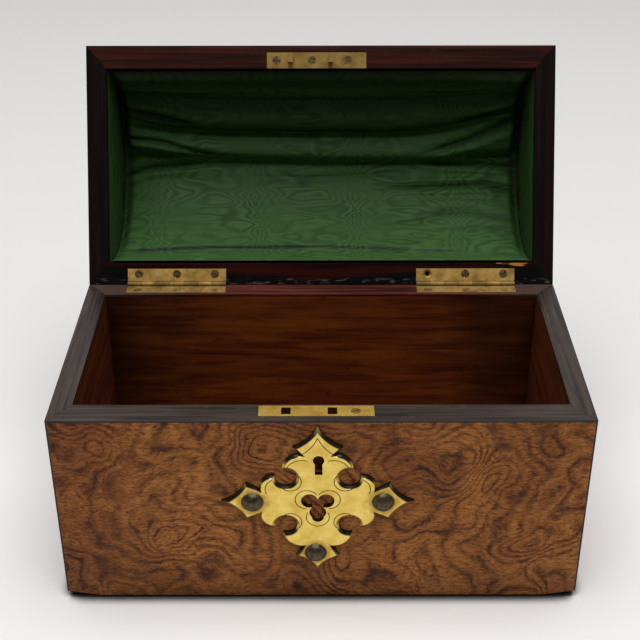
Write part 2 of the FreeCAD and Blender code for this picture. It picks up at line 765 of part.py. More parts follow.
# Hinges: the base leaf has the odd knuckles, the lid leaf the ones between them, on one fixed pin.
def hinge_leaf(side, axis_y, axis_z, low, high, first, holes):
    pitch = "(hinge_length / knuckle_count)"
    start = f"({hinge_x[side]} - hinge_length / 2)"
    plate = span((start, f"{start} + hinge_length"), (f"{axis_y} - leaf_reach", axis_y), (low, high))
    total = int(value("knuckle_count"))
    mine = range(first, total, 2)
    others = range(1 - first, total, 2)
    rolls = [
        cylinder(
            f"{start} + {k} * {pitch} + knuckle_gap / 2",
            axis_y,
            axis_z,
            "knuckle_radius",
            f"{pitch} - knuckle_gap",
            along_x,
        )
        for k in mine
    ]
    gaps = [
        span(
            (f"{start} + {k} * {pitch} - knuckle_gap / 2", f"{start} + {k + 1} * {pitch} + knuckle_gap / 2"),
            (f"{axis_y} - ({groove_radius})", f"{axis_y} + knuckle_radius + 1"),
            (f"{axis_z} - 2 * knuckle_radius", f"{axis_z} + 2 * knuckle_radius"),
        )
        for k in others
    ]
    bore = cylinder(
        f"{start} - 1", axis_y, axis_z, "pin_radius + pin_clearance", "hinge_length + 2", along_x
    )
    return cut(fuse(plate, *rolls), bore, *gaps, *holes)


axis_z = "(rim_height + LID_Z)"
for k, side in enumerate(("left", "right")):
    mine = slice(3 * k, 3 * k + 3)
    base_leaf = hinge_leaf(side, base_axis_y, axis_z, "STRIP_Z", "rim_height", 0, base_hinge_holes[mine])
    node(f"hinge_{side}_base_leaf", base_leaf)
    start = f"{hinge_x[side]} - hinge_length / 2"
    node(f"hinge_{side}_pin", cylinder(start, base_axis_y, axis_z, "pin_radius", "hinge_length", along_x))
    lid_leaf = hinge_leaf(side, "0", "0", "LID_Z", "LID_Z + rim_strip", 1, lid_hinge_holes[mine])
    lid_node(f"hinge_{side}_lid_leaf", lid_leaf)
node("base_hinge_screws", compound([screw(*at, 25 + 47 * k) for k, at in enumerate(base_screws_at)]))
lid_screws = [screw(*at, 70 + 53 * k) for k, at in enumerate(lid_screws_at) if k != empty_hole]
lid_node("lid_hinge_screws", compound(lid_screws))

# Lid, drawn about the hinge line: y = 0 on the line, the front at negative y.
lid_mid = "(INSET - HALF_D)"
lid_front = "(INSET - box_depth)"
lid_low = "(LID_Z + rim_strip)"
lid_line = "(LID_Z + lid_spring)"
hook_y = "(LOCK_Y - HALF_D + INSET)"
hook_screws_at = [
    (f"lock_offset + hook_screw_shift + ({k}) * hook_screw_pitch", hook_y, "LID_Z", False, "screw_head")
    for k in (-1, 0, 1)
]
hook_holes = [screw_hole(*at) for at in hook_screws_at]
hook_bed = span(
    (f"{plate_x[0]} - leaf_clearance", f"{plate_x[1]} + leaf_clearance"),
    (f"{hook_y} - lock_width / 2 - leaf_clearance", f"{hook_y} + lock_width / 2 + leaf_clearance"),
    ("LID_Z - 1", lid_low),
)
lid_bevel_outer = ("-1", "rim_strip - bevel_margin")
lid_bevel = wedge(quarter[2], "0", "INSET", "LID_Z", "INSET", full_x, full_x, lid_bevel_outer, ("-1", "0"))
lid_strips = {side: rim_strip(side, lid_mid, "LID_Z", "lid_wall", "lid_wall") for side in sides}
lid_node("lid_rim_front", cut(lid_strips["front"], hook_bed))
lid_beds = beds("0", "LID_Z - 1", lid_low)
lid_node("lid_rim_back", cut(lid_strips["back"], lid_bevel, *lid_beds, *lid_grooves))
lid_node("lid_rim_left", cut(lid_strips["left"], lid_bevel))
lid_node("lid_rim_right", cut(lid_strips["right"], lid_bevel))

# Rails carry the staves, which close the dome in equal turns about its middle line.
rail_z = (lid_low, lid_line)
front_rail_y = (f"{lid_front} + veneer_thickness", f"{lid_front} + lid_wall")
front_rail = span((f"-{skin_x}", skin_x), front_rail_y, rail_z)
lid_node("lid_front_rail", cut(front_rail, *hook_holes))
back_rail = span((f"-{skin_x}", skin_x), ("INSET - lid_wall", "INSET - veneer_thickness"), rail_z)
lid_node("lid_back_rail", cut(back_rail, *lid_hinge_holes, *lid_grooves))
dome_turn = FreeCAD.Rotation(V(0, -1, 0), V(0, 0, 1), V(-1, 0, 0), "ZXY")
dome_radius = "(HALF_D - veneer_thickness)"
inner_radius = "(HALF_D - lid_wall)"


def dome(radius, right, length, start=0.0, sweep="180"):
    # a round-topped block about the dome's middle line, swept from the front over the top
    obj = bind(add("Part::Cylinder", "dome"), Radius=radius, Height=length, Angle=sweep)
    turn = FreeCAD.Rotation(V(1, 0, 0), -start).multiply(dome_turn)
    return place(obj, right, lid_mid, lid_line, turn)


def arch(radius, right, length):
    # the dome's round top on straight sides
    legs = span(
        (f"{right} - ({length})", right),
        (f"{lid_mid} - {radius}", f"{lid_mid} + {radius}"),
        (lid_low, lid_line),
    )
    return fuse(dome(radius, right, length), legs)


void = dome(inner_radius, "HALF_W + 1", "box_width + 2", -10.0, "200")
stave_total = int(value("stave_count"))
for k in range(stave_total):
    stave = dome(dome_radius, skin_x, f"2 * {skin_x}", 180.0 * k / stave_total, "180 / stave_count")
    screws_here = hook_holes if k == 0 else lid_hinge_holes if k == stave_total - 1 else []
    lid_node(f"lid_stave_{k + 1}", cut(stave, void, *screws_here))
lid_node("lid_left_end", arch(inner_radius, f"-{end_x}", "end_wall - veneer_thickness"))
lid_node("lid_right_end", arch(inner_radius, skin_x, "end_wall - veneer_thickness"))
dome_skin = arch("HALF_D", skin_x, f"2 * {skin_x}")
lid_node("lid_dome_veneer", cut(dome_skin, arch(dome_radius, "HALF_W", "box_width")))
lid_node("lid_left_veneer", arch(dome_radius, f"-{skin_x}", "veneer_thickness"))
lid_node("lid_right_veneer", arch(dome_radius, "HALF_W", "veneer_thickness"))
string_core = arch(dome_radius, "HALF_W + 1", "box_width + 2")
lid_strings = [
    cut(arch("HALF_D", right, "veneer_thickness"), string_core) for right in ("HALF_W", f"-{skin_x}")
]
lid_node("lid_edge_strings", compound(lid_strings))

# Hook plate let into the lid's front rim.
hook_plate = span(
    plate_x, (f"{hook_y} - lock_width / 2", f"{hook_y} + lock_width / 2"), ("LID_Z", lid_low)
)
hooks = [
    span(
        (f"{x} - hook_width / 2", f"{x} + hook_width / 2"),
        (f"{hook_y} - hook_depth / 2", f"{hook_y} + hook_depth / 2"),
        ("LID_Z - hook_length", "LID_Z + rim_strip / 2"),
    )
    for x in slot_x
]
eyes = [
    span(
        (f"{x} - hook_width", f"{x} + hook_width"),
        (f"{hook_y} - eye_width / 2", f"{hook_y} + eye_width / 2"),
        ("LID_Z - hook_length + hook_web", "LID_Z - hook_length + hook_web + eye_height"),
    )
    for x in slot_x
]
lid_node("lock_hook_plate", cut(fuse(hook_plate, *hooks), *eyes, *hook_holes))
lid_node("hook_plate_screws", compound([screw(*at, 15 + 61 * k) for k, at in enumerate(hook_screws_at)]))

# Silk lining: two flat end panels, and a barrel whose padding swells between lengthwise creases.
panel_radius = f"({inner_radius} - lining_clearance)"
for side, right in (("left", f"lining_end - {end_x}"), ("right", end_x)):
    lid_node(f"lid_lining_{side}", arch(panel_radius, right, "lining_end"))

# Each section lists its creases as turns in degrees from the hinge side over the crown.
lining_sections = [
    (-1.0, (30, 60, 88, 108, 126, 150, 168)),
    (-0.5, (30, 64, 96, 105, 124, 143, 165)),
    (0.0, (29, 74, 99, 106, 120, 140, 164)),
    (0.5, (30, 80, 98, 107, 124, 140, 165)),
    (1.0, (31, 75, 95, 106, 128, 142, 168)),
]


def lining_wire(x, creases):
    radius = value(panel_radius)
    middle, spring_z, foot = value(lid_mid), value(lid_line), value(lid_low)
    half = radius - value("lining_edge")
    rise = spring_z + radius - value("lining_crown") - foot
    puff = value("lining_puff")

    def point(turn, swell):
        c, s = math.cos(math.radians(turn)), math.sin(math.radians(turn))
        return V(x, middle + (half - swell) * c, foot + (rise - swell) * s)

    turns = (0,) + tuple(creases) + (180,)
    edges = []
    for a, b in zip(turns, turns[1:]):
        swell = puff * min(1.0, (b - a) / 25.0)
        edges.append(Part.Arc(point(a, 0), point((a + b) / 2, swell), point(b, 0)).toShape())
    front, back = V(x, middle - radius, spring_z), V(x, middle + radius, spring_z)
    front_foot, back_foot = V(x, middle - radius, foot), V(x, middle + radius, foot)
    crown = V(x, middle, spring_z + radius)
    slope = radius * math.sqrt(0.5)
    edges.append(Part.LineSegment(point(180, 0), front_foot).toShape())
    edges.append(Part.LineSegment(front_foot, front).toShape())
    edges.append(Part.Arc(front, V(x, middle - slope, spring_z + slope), crown).toShape())
    edges.append(Part.Arc(crown, V(x, middle + slope, spring_z + slope), back).toShape())
    edges.append(Part.LineSegment(back, back_foot).toShape())
    edges.append(Part.LineSegment(back_foot, point(0, 0)).toShape())
    return Part.Wire(edges)


lining_half = value(f"{end_x} - lining_end - lining_clearance")
lining = doc.addObject("Part::Feature", "lining")
lining_wires = [lining_wire(share * lining_half, creases) for share, creases in lining_sections]
lining.Shape = Part.makeLoft(lining_wires, True, True)
lid_node("lid_lining_dome", lining)

doc.recompute()
faults = [obj.Name for obj in doc.Objects if "Invalid" in obj.State or "Error" in obj.State]
for name, obj in nodes.items():
    if obj.Shape.isNull() or not obj.Shape.isValid() or not obj.Shape.Solids:
        faults.append(name)
if faults:
    raise RuntimeError("pieces that failed: " + ", ".join(faults))

os.makedirs("parts", exist_ok=True)
for name, obj in nodes.items():
    obj.Shape.exportStep(f"parts/{name}.step")
print(len(nodes), "pieces,", sum(len(obj.Shape.Solids) for obj in nodes.values()), "solids")
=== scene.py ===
import math

import bmesh
import bpy
from mathutils import Matrix, Vector, noise


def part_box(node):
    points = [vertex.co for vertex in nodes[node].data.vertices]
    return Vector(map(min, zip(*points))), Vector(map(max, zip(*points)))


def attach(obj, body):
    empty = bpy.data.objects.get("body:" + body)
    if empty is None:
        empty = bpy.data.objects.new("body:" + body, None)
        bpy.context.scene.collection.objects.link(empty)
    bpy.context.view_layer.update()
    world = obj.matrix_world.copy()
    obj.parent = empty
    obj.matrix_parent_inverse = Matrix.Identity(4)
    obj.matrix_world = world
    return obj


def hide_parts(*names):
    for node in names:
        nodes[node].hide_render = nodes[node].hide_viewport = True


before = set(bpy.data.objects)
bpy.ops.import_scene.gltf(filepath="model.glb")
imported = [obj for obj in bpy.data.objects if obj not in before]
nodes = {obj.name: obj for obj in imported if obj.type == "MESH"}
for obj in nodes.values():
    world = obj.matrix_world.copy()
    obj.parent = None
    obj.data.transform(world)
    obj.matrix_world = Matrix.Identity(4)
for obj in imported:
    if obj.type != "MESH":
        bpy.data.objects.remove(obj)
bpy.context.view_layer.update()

scene = bpy.context.scene
scene.view_settings.view_transform = "Standard"
print("frame loaded:", len(nodes), "nodes")


def hexColour(code):  # sRGB hex to linear
    parts = [int(code[k:k + 2], 16) / 255 for k in (0, 2, 4)]
    return [c / 12.92 if c <= 0.04045 else ((c + 0.055) / 1.055) ** 2.4 for c in parts] + [1.0]


def addNode(tree, kind, inputs=(), stops=(), **settings):  # one node with its settings, links and ramp stops
    made = tree.nodes.new("ShaderNode" + kind)
    for key, value in settings.items():
        setattr(made, key, value)
    for key, value in dict(inputs).items():
        if isinstance(value, bpy.types.NodeSocket):
            tree.links.new(value, made.inputs[key])
        else:
            made.inputs[key].default_value = value
    for k, (place, code) in enumerate(stops):
        stop = made.color_ramp.elements[k] if k < 2 else made.color_ramp.elements.new(place)
        stop.position = place
        stop.color = hexColour(code)
    return made


def newMaterial(name):
    mat = bpy.data.materials.new(name)
    mat.use_nodes = True
    tree = mat.node_tree
    return mat, tree, tree.nodes["Principled BSDF"]


def millimetres(tree, turn=0.0, stretch=(1, 1, 1)):  # object coordinates in mm, turned about x, then stretched
    coords = addNode(tree, "TexCoord")
    turned = addNode(tree, "Mapping", {"Vector": coords.outputs["Object"], "Rotation": (turn, 0, 0),
                                       "Scale": (1000, 1000, 1000)})
    scaled = addNode(tree, "Mapping", {"Vector": turned.outputs[0], "Scale": stretch})
    return scaled.outputs[0]


# Burr walnut veneer under worn shellac: broken rings and eyes swirl through orange-brown wood, with dark flecks.
# Sizes are in mm; flecks and fibres are drawn coarser than real pores so that they show.
walnut = dict(warpSize=46, warpReach=34, raggedSize=2.2, raggedReach=2.8, swirlSize=46, rings=19.0, fineRings=41.0,
              brokenSize=16, fleckSize=0.9, eyeSize=44, blotchSize=40, fibreSize=0.8, dirtyFoot=2, cleanFrom=22)


def burrWalnut():
    mat, tree, shader = newMaterial("burrWalnutShellac")
    mm = millimetres(tree)
    warp = addNode(tree, "TexNoise", {"Vector": mm, "Scale": 1 / walnut["warpSize"], "Detail": 2.5})
    centred = addNode(tree, "VectorMath", {0: warp.outputs["Color"], 1: (0.5, 0.5, 0.5)}, operation="SUBTRACT")
    pushed = addNode(tree, "VectorMath", {0: centred.outputs[0], "Scale": walnut["warpReach"]}, operation="SCALE")
    bent = addNode(tree, "VectorMath", {0: mm, 1: pushed.outputs[0]}, operation="ADD")
    ragged = addNode(tree, "TexNoise", {"Vector": mm, "Scale": 1 / walnut["raggedSize"], "Detail": 3.0})
    frayed = addNode(tree, "VectorMath", {0: ragged.outputs["Color"], 1: (walnut["raggedReach"],) * 3,
                                          2: bent.outputs[0]}, operation="MULTIPLY_ADD")
    swirl = addNode(tree, "TexNoise", {"Vector": frayed.outputs[0], "Scale": 1 / walnut["swirlSize"], "Detail": 1.3,
                                       "Roughness": 0.5})
    blotch = addNode(tree, "TexNoise", {"Vector": bent.outputs[0], "Scale": 1 / walnut["blotchSize"], "Detail": 3.0})
    shade = addNode(tree, "ValToRGB", {"Fac": blotch.outputs["Fac"]}, [(0.36, "b06e38"), (0.62, "dc944e")]).outputs[0]
    broken = addNode(tree, "TexNoise", {"Vector": mm, "Scale": 1 / walnut["brokenSize"], "Detail": 4.0,
                                        "Roughness": 0.65})
    for count, low, high, tones in (
        (walnut["rings"], 0.3, 0.95, [(0.0, "634e42"), (0.07, "806b5d"), (0.18, "ddd0c5"), (0.45, "ffffff")]),
        (walnut["fineRings"], -0.2, 0.6, [(0.0, "8d796a"), (0.2, "efe6df"), (0.5, "ffffff")]),
    ):  # bold rings, then fine ones that come and go
        turns = addNode(tree, "Math", {0: swirl.outputs["Fac"], 1: count}, operation="MULTIPLY")
        ring = addNode(tree, "Math", {0: turns.outputs[0], 1: 0.5}, operation="PINGPONG")
        vein = addNode(tree, "ValToRGB", {"Fac": ring.outputs[0]}, tones)
        bold = addNode(tree, "MapRange", {"Value": broken.outputs["Fac"], "From Min": 0.34, "From Max": 0.62,
                                          "To Min": low, "To Max": high}, clamp=False)
        kept = addNode(tree, "Math", {0: bold.outputs[0], 1: 0.0}, operation="MAXIMUM", use_clamp=True)
        shade = addNode(tree, "Mix", {"Factor": kept.outputs[0], 6: shade, 7: vein.outputs[0]},
                        data_type="RGBA", blend_type="MULTIPLY").outputs[2]
    drawn = addNode(tree, "Mapping", {"Vector": bent.outputs[0], "Scale": (0.4, 0.4, 1.15)})
    fleck = addNode(tree, "TexNoise", {"Vector": drawn.outputs[0], "Scale": 1 / walnut["fleckSize"], "Detail": 3.0,
                                       "Roughness": 0.62})
    fleckShade = addNode(tree, "ValToRGB", {"Fac": fleck.outputs["Fac"]},
                         [(0.33, "3c2619"), (0.4, "b9a493"), (0.5, "e9dfd6"), (0.62, "ffffff")])
    laid = addNode(tree, "Mapping", {"Vector": mm, "Scale": (0.14, 0.14, 1)})
    fibre = addNode(tree, "TexNoise", {"Vector": laid.outputs[0], "Scale": 1 / walnut["fibreSize"], "Detail": 2.0})
    fibreShade = addNode(tree, "ValToRGB", {"Fac": fibre.outputs["Fac"]}, [(0.34, "b9a79a"), (0.6, "ffffff")])
    eye = addNode(tree, "TexVoronoi", {"Vector": bent.outputs[0], "Scale": 1 / walnut["eyeSize"], "Randomness": 1.0})
    eyeShade = addNode(tree, "ValToRGB", {"Fac": eye.outputs["Distance"]},
                       [(0.0, "2e1c12"), (0.04, "6e4a33"), (0.07, "ffffff")])
    height = addNode(tree, "SeparateXYZ", {0: mm})
    foot = addNode(tree, "MapRange", {"Value": height.outputs["Z"], "From Min": walnut["dirtyFoot"],
                                      "From Max": walnut["cleanFrom"], "To Min": 0.7})  # handling dirt along the foot
    footShade = addNode(tree, "CombineColor", {0: foot.outputs[0], 1: foot.outputs[0], 2: foot.outputs[0]})
    for layer, strength in ((fleckShade, 0.8), (fibreShade, 0.6), (eyeShade, 0.5), (footShade, 1.0)):
        shade = addNode(tree, "Mix", {"Factor": strength, 6: shade, 7: layer.outputs[0]},
                        data_type="RGBA", blend_type="MULTIPLY").outputs[2]
    rough = addNode(tree, "MapRange", {"Value": fleck.outputs["Fac"], "To Min": 0.55, "To Max": 0.38})
    bump = addNode(tree, "Bump", {"Height": fleck.outputs["Fac"], "Strength": 0.15, "Distance": 0.0003})
    shader.inputs["Specular IOR Level"].default_value = 0.2
    tree.links.new(shade, shader.inputs["Base Color"])
    tree.links.new(rough.outputs[0], shader.inputs["Roughness"])
    tree.links.new(bump.outputs[0], shader.inputs["Normal"])
    return mat


lidTurn = math.radians(116.3)  # the lid's rest angle
acrossGrain = (0.03, 1, 1)
upGrain = (1, 0.03, 1)
cedarGrain = (0.07, 1, 1)
cedarEndGrain = (1, 0.05, 1)
standingGrain = (1, 1, 0.05)
rubSize = 9  # mm, patches where the polish is rubbed


# Straight-grained wood under polish: long streaks of two tones with open pores, duller where it is rubbed.
def streakedWood(name, dark, pale, rubbed, grain, gloss, shine, along, turn=0.0):
    mat, tree, shader = newMaterial(name)
    mm = millimetres(tree, turn, along)
    streak = addNode(tree, "TexNoise", {"Vector": mm, "Scale": 1 / grain, "Detail": 5.0, "Roughness": 0.6,
                                        "Distortion": 0.4})
    tone = addNode(tree, "ValToRGB", {"Fac": streak.outputs["Fac"]}, [(0.36, dark), (0.66, pale)])
    wear = addNode(tree, "TexNoise", {"Vector": millimetres(tree), "Scale": 1 / rubSize, "Detail": 5.0,
                                      "Roughness": 0.7})
    wearMask = addNode(tree, "MapRange", {"Value": wear.outputs["Fac"], "From Min": 0.6, "From Max": 0.78,
                                          "To Max": 0.35})
    worn = addNode(tree, "Mix", {"Factor": wearMask.outputs[0], 6: tone.outputs[0], 7: hexColour(rubbed)},
                   data_type="RGBA")
    rough = addNode(tree, "MapRange", {"Value": wear.outputs["Fac"], "From Min": 0.3, "From Max": 0.75,
                                       "To Min": gloss, "To Max": gloss + 0.2})
    bump = addNode(tree, "Bump", {"Height": streak.outputs["Fac"], "Strength": 0.15, "Distance": 0.0003})
    shader.inputs["Specular IOR Level"].default_value = shine
    tree.links.new(worn.outputs[2], shader.inputs["Base Color"])
    tree.links.new(rough.outputs[0], shader.inputs["Roughness"])
    tree.links.new(bump.outputs[0], shader.inputs["Normal"])
    return mat, tree, shader, worn


# Back strip of the lid: red polish left in the middle, black below the hinge height and rising towards the ends,
# scuffed along the hinge line, one raw chip.
scuffs = dict(blackTop=102.4, blackBlur=0.8, blackRise=0.055, broadSize=22, broadReach=5.0, scuffTop=105.2,
              scratchSize=1.1, chip=(100, 0, 112.0), chipReach=(13, 100, 2.4), chipTear=1.6)


def scuffedRosewood():
    mat, tree, shader, worn = streakedWood("scuffedRosewood", "0d0202", "380c05", "2e130d", 2.6, 0.5, 0.07,
                                           acrossGrain)
    mm = millimetres(tree)
    place = addNode(tree, "SeparateXYZ", {0: mm})
    broad = addNode(tree, "TexNoise", {"Vector": mm, "Scale": 1 / scuffs["broadSize"], "Detail": 4.0})
    outward = addNode(tree, "Math", {0: place.outputs["X"]}, operation="ABSOLUTE")
    rise = addNode(tree, "Math", {0: outward.outputs[0], 1: -scuffs["blackRise"], 2: place.outputs["Z"]},
                   operation="MULTIPLY_ADD")
    ragged = addNode(tree, "Math", {0: broad.outputs["Fac"], 1: -scuffs["broadReach"], 2: rise.outputs[0]},
                     operation="MULTIPLY_ADD")
    top, blur = scuffs["blackTop"], scuffs["blackBlur"]
    black = addNode(tree, "MapRange", {"Value": ragged.outputs[0], "From Min": top - blur, "From Max": top + blur,
                                       "To Min": 1.0, "To Max": 0.0})
    blacked = addNode(tree, "Mix", {"Factor": black.outputs[0], 6: worn.outputs[2], 7: hexColour("080606")},
                      data_type="RGBA")
    line = addNode(tree, "Mapping", {"Vector": mm, "Scale": (0.22, 1, 1)})
    scratch = addNode(tree, "TexNoise", {"Vector": line.outputs[0], "Scale": 1 / scuffs["scratchSize"], "Detail": 3.0})
    low = addNode(tree, "MapRange", {"Value": place.outputs["Z"], "From Min": scuffs["scuffTop"] - 1,
                                     "From Max": scuffs["scuffTop"], "To Min": 0.55, "To Max": 0.0})
    bare = addNode(tree, "MapRange", {"Value": scratch.outputs["Fac"], "From Min": 0.56, "From Max": 0.66})
    scuffed = addNode(tree, "Math", {0: bare.outputs[0], 1: low.outputs[0]}, operation="MULTIPLY")
    rubbed = addNode(tree, "Mix", {"Factor": scuffed.outputs[0], 6: blacked.outputs[2], 7: hexColour("6f645e")},
                     data_type="RGBA")
    away = addNode(tree, "VectorMath", {0: mm, 1: scuffs["chip"]}, operation="SUBTRACT")
    spread = addNode(tree, "VectorMath", {0: away.outputs[0], 1: scuffs["chipReach"]}, operation="DIVIDE")
    gap = addNode(tree, "VectorMath", {0: spread.outputs[0]}, operation="LENGTH")
    torn = addNode(tree, "Math", {0: scratch.outputs["Fac"], 1: scuffs["chipTear"], 2: gap.outputs["Value"]},
                   operation="MULTIPLY_ADD")
    chip = addNode(tree, "MapRange", {"Value": torn.outputs[0], "From Min": 1.45, "From Max": 1.6, "To Min": 1.0,
                                      "To Max": 0.0})
    raw = addNode(tree, "Mix", {"Factor": chip.outputs[0], 6: rubbed.outputs[2], 7: hexColour("c9773a")},
                  data_type="RGBA")
    tree.links.new(raw.outputs[2], shader.inputs["Base Color"])
    return mat


# Back strip of the base: its grey bloom is rubbed off between the hinges, where the wood shows red.
backStrip = dict(redHalf=66, greyHalf=112, bloom=0.8)


def reddenedRosewood():
    mat, tree, shader, worn = streakedWood("reddenedRosewood", "260c08", "623026", "7a4c41", 1.7, 0.35, 0.14,
                                           acrossGrain)
    place = addNode(tree, "SeparateXYZ", {0: millimetres(tree)})
    outward = addNode(tree, "Math", {0: place.outputs["X"]}, operation="ABSOLUTE")
    bloom = addNode(tree, "MapRange", {"Value": outward.outputs[0], "From Min": backStrip["redHalf"],
                                       "From Max": backStrip["greyHalf"], "To Max": backStrip["bloom"]})
    greyed = addNode(tree, "Mix", {"Factor": bloom.outputs[0], 6: worn.outputs[2], 7: hexColour("4b3e38")},
                     data_type="RGBA")
    tree.links.new(greyed.outputs[2], shader.inputs["Base Color"])
    return mat


# Inside of the back wall: the stain has gone golden in the middle; painted shade darkens it towards the corners, with
# dark specks.
backWall = dict(unshadedHalf=58, shadedHalf=108, cloudSize=24, cloudReach=60, goldSize=(46, 20, 7), speckSize=2.6)


def cedarShadedToCorners():
    mat, tree, shader, worn = streakedWood("cedarShadedToCorners", "4c1c08", "7a3a12", "8f5022", 3.6, 0.5, 0.2, cedarGrain)
    mm = millimetres(tree)
    place = addNode(tree, "SeparateXYZ", {0: mm})
    patch = addNode(tree, "VectorMath", {0: mm, 1: backWall["goldSize"]}, operation="DIVIDE")
    gold = addNode(tree, "TexNoise", {"Vector": patch.outputs[0], "Scale": 1.0, "Detail": 3.0, "Roughness": 0.6})
    goldMask = addNode(tree, "MapRange", {"Value": gold.outputs["Fac"], "From Min": 0.46, "From Max": 0.68,
                                          "To Max": 0.6})
    golden = addNode(tree, "Mix", {"Factor": goldMask.outputs[0], 6: worn.outputs[2], 7: hexColour("94501a")},
                     data_type="RGBA")
    cloud = addNode(tree, "TexNoise", {"Vector": mm, "Scale": 1 / backWall["cloudSize"], "Detail": 4.0})
    outward = addNode(tree, "Math", {0: place.outputs["X"]}, operation="ABSOLUTE")
    cloudy = addNode(tree, "Math", {0: cloud.outputs["Fac"], 1: backWall["cloudReach"], 2: outward.outputs[0]},
                     operation="MULTIPLY_ADD")
    level = backWall["cloudReach"] / 2
    # painted shade, darkening the wall towards both corners with a cloudy edge
    cornerShade = addNode(tree, "MapRange", {"Value": cloudy.outputs[0], "From Min": backWall["unshadedHalf"] + level,
                                      "From Max": backWall["shadedHalf"] + level, "To Max": 0.8})
    dirty = addNode(tree, "Mix", {"Factor": cornerShade.outputs[0], 6: golden.outputs[2], 7: hexColour("200c03")},
                    data_type="RGBA")
    speck = addNode(tree, "TexNoise", {"Vector": mm, "Scale": 1 / backWall["speckSize"], "Detail": 2.0})
    speckMask = addNode(tree, "MapRange", {"Value": speck.outputs["Fac"], "From Min": 0.7, "From Max": 0.76,
                                           "To Max": 0.7})
    specked = addNode(tree, "Mix", {"Factor": speckMask.outputs[0], 6: dirty.outputs[2], 7: hexColour("180903")},
                      data_type="RGBA")
    tree.links.new(specked.outputs[2], shader.inputs["Base Color"])
    return mat


# Brass: yellow metal whose polish is broken by dull clouds and brown spots.
brassWear = dict(cloudSize=7, pitSize=1.1)


def brass(name, bright, dull, roughness, spots):
    mat, tree, shader = newMaterial(name)
    mm = millimetres(tree)
    cloud = addNode(tree, "TexNoise", {"Vector": mm, "Scale": 1 / brassWear["cloudSize"], "Detail": 4.0,
                                       "Roughness": 0.6})
    tone = addNode(tree, "ValToRGB", {"Fac": cloud.outputs["Fac"]}, [(0.35, dull), (0.62, bright)])
    pit = addNode(tree, "TexNoise", {"Vector": mm, "Scale": 1 / brassWear["pitSize"], "Detail": 3.0,
                                     "Roughness": 0.7})
    pitMask = addNode(tree, "MapRange", {"Value": pit.outputs["Fac"], "From Min": 0.68, "From Max": 0.76,
                                         "To Max": spots})
    spotted = addNode(tree, "Mix", {"Factor": pitMask.outputs[0], 6: tone.outputs[0], 7: hexColour("4a3212")},
                      data_type="RGBA")
    rough = addNode(tree, "MapRange", {"Value": cloud.outputs["Fac"], "From Min": 0.3, "From Max": 0.7,
                                       "To Min": roughness + 0.12, "To Max": roughness})
    bump = addNode(tree, "Bump", {"Height": cloud.outputs["Fac"], "Strength": 0.25, "Distance": 0.0004})
    shader.inputs["Metallic"].default_value = 1.0
    tree.links.new(rough.outputs[0], shader.inputs["Roughness"])
    tree.links.new(bump.outputs[0], shader.inputs["Normal"])
    tree.links.new(spotted.outputs[2], shader.inputs["Base Color"])
    return mat, tree, shader, spotted, mm


# Cast brass escutcheon: the flat face is buffed and brown by the studs, where no cloth reaches; engraved lines
# and the bevels that face up hold black dirt.
escutcheon = dict(topReach=40.9, studs=[(-29.4, 0), (29.4, 0), (-1.0, -29.4)], brownFrom=4.6, brownTo=8.4,
                  smudgeSize=3.2, smudgeReach=5.0, cleanDepth=0.1, dirtDepth=0.24)


def escutcheonBrass():
    mat, tree, shader, spotted, mm = brass("buffedBrassBlackedEdges", "e8cd6f", "d6b353", 0.26, 0.75)
    low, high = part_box("escutcheon_plate")
    face = low.y * 1000
    middle = ((low.x + high.x) * 500, high.z * 1000 - escutcheon["topReach"])
    flat = addNode(tree, "VectorMath", {0: mm, 1: (1, 0, 1)}, operation="MULTIPLY")
    smudge = addNode(tree, "TexNoise", {"Vector": mm, "Scale": 1 / escutcheon["smudgeSize"], "Detail": 3.0})
    level = escutcheon["smudgeReach"] / 2
    browned = spotted.outputs[2]
    for x, z in escutcheon["studs"]:
        gap = addNode(tree, "VectorMath", {0: flat.outputs[0], 1: (middle[0] + x, 0, middle[1] + z)},
                      operation="DISTANCE")
        uneven = addNode(tree, "Math", {0: smudge.outputs["Fac"], 1: escutcheon["smudgeReach"],
                                        2: gap.outputs["Value"]}, operation="MULTIPLY_ADD")
        brown = addNode(tree, "MapRange", {"Value": uneven.outputs[0], "From Min": escutcheon["brownFrom"] + level,
                                           "From Max": escutcheon["brownTo"] + level, "To Min": 0.8, "To Max": 0.0})
        browned = addNode(tree, "Mix", {"Factor": brown.outputs[0], 6: browned, 7: hexColour("8f6122")},
                          data_type="RGBA").outputs[2]
    depth = addNode(tree, "SeparateXYZ", {0: mm})
    below = addNode(tree, "MapRange", {"Value": depth.outputs["Y"], "From Min": face + escutcheon["cleanDepth"],
                                       "From Max": face + escutcheon["dirtDepth"]})
    facing = addNode(tree, "SeparateXYZ", {0: addNode(tree, "TexCoord").outputs["Normal"]})
    upward = addNode(tree, "MapRange", {"Value": facing.outputs["Z"], "From Min": 0.12, "From Max": 0.4})
    lineFloor = addNode(tree, "MapRange", {"Value": facing.outputs["Y"], "From Min": -0.9, "From Max": -0.97})
    dirty = addNode(tree, "Math", {0: upward.outputs[0], 1: lineFloor.outputs[0]}, operation="MAXIMUM")
    black = addNode(tree, "Math", {0: below.outputs[0], 1: dirty.outputs[0]}, operation="MULTIPLY")
    blacked = addNode(tree, "Mix", {"Factor": black.outputs[0], 6: browned, 7: hexColour("17140a")},
                      data_type="RGBA")
    metal = addNode(tree, "MapRange", {"Value": black.outputs[0], "To Min": 1.0, "To Max": 0.25})
    tree.links.new(blacked.outputs[2], shader.inputs["Base Color"])
    tree.links.new(metal.outputs[0], shader.inputs["Metallic"])
    return mat


# Hinge brass: unpolished leaves, browned by old oil along the knuckles.
hingeOil = dict(full=1.45, none=1.8, strength=0.62)  # distances from the pin's axis in mm


